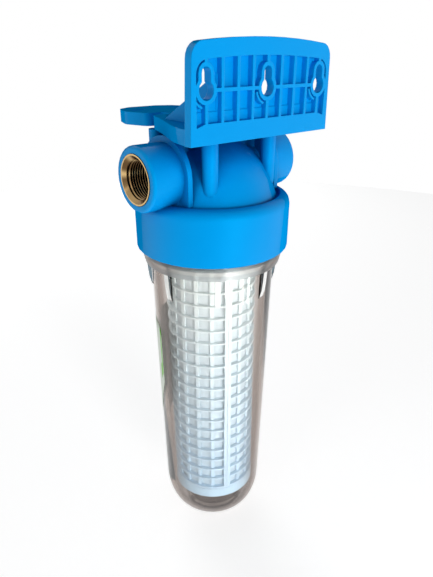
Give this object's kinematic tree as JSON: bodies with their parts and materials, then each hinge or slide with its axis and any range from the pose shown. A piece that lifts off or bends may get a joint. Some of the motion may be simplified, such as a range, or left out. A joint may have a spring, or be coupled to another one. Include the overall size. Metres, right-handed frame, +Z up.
{
  "type": "clear-bowl water filter housing with wall bracket and mesh cartridge",
  "caption": "Upright water filter housing: clear screw-on bowl, blue head with brass-lined ports, keyholed wall bracket and a washable mesh cartridge.",
  "frame": {"origin": "centre of the flat underside of the bowl's foot", "axes": "+Z up along the bowl's axis, -Y out of the wall plate, X along the two ports with the inlet on -X"},
  "size_m": [0.1232, 0.1345, 0.3744],
  "materials": {
    "blue_plastic": "satin",
    "clear_plastic": "clear",
    "white_plastic": "satin",
    "mesh": "fine mesh",
    "brass": "machined",
    "steel": "plated",
    "seal": "matte"
  },
  "bodies": {
    "head_assembly": {"head": "blue_plastic", "bracket": "blue_plastic", "inlet_insert": "brass", "outlet_insert": "brass", "bracket_screw_left": "steel", "bracket_screw_right": "steel", "bracket_washer_left": "steel", "bracket_washer_right": "steel"},
    "seal_ring": {"bowl_seal": "seal"},
    "bowl_assembly": {"bowl": "clear_plastic", "cage_front": "white_plastic", "cage_back": "white_plastic", "mesh_sleeve": "mesh", "bottom_cap": "white_plastic", "top_cap": "white_plastic", "bottom_gasket": "seal", "top_gasket": "seal"}
  },
  "joints": [
    {"name": "bowl_drop", "type": "slide", "parent": "head_assembly", "child": "seal_ring", "axis": [0, 0, -1], "range_m": [0, 0.018]},
    {"name": "bowl_turn", "type": "hinge", "parent": "seal_ring", "child": "bowl_assembly", "pos_m": [0, 0, 0.2439], "axis": [0, 0, -1], "range_deg": [0, 1080]}
  ],
  "couplings": [
    {"joint": "bowl_drop", "follows": "bowl_turn", "m_per_rad": 0.00095493}
  ]
}
